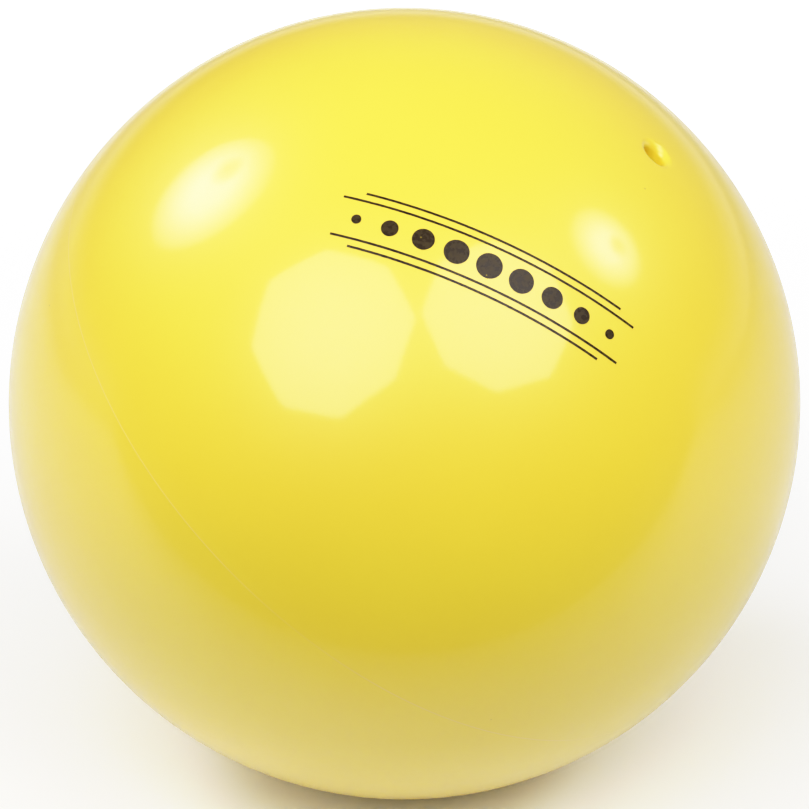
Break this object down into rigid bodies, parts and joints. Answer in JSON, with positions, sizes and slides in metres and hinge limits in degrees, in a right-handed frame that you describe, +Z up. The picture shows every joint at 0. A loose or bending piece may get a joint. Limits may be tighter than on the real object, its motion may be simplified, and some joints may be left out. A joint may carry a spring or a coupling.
{
  "type": "gymnastics ball",
  "caption": "Hollow glossy vinyl-rubber ball with a recessed stopper valve, a fine parting line and a printed band of dots and lines.",
  "frame": {"origin": "centre of the ball", "axes": "+Z straight up as the ball lies on the ground, 95 mm above its lowest point; the valve axis lies in the XZ plane, 40 degrees from +Z towards +X; the print faces up, towards -Y and +X"},
  "size_m": [0.19, 0.1902, 0.19],
  "materials": {
    "yellow_vinyl": "gloss",
    "socket_vinyl": "satin",
    "plug_vinyl": "satin",
    "print_ink": "satin"
  },
  "bodies": {
    "ball": {"ball_skin": "yellow_vinyl", "valve_socket": "socket_vinyl", "printed_band": "print_ink"},
    "stopper": {"valve_plug": "plug_vinyl"}
  },
  "joints": [
    {"name": "stopper_pull", "type": "slide", "parent": "ball", "child": "stopper", "axis": [0.6428, 0, 0.766], "range_m": [0, 0.024]}
  ]
}
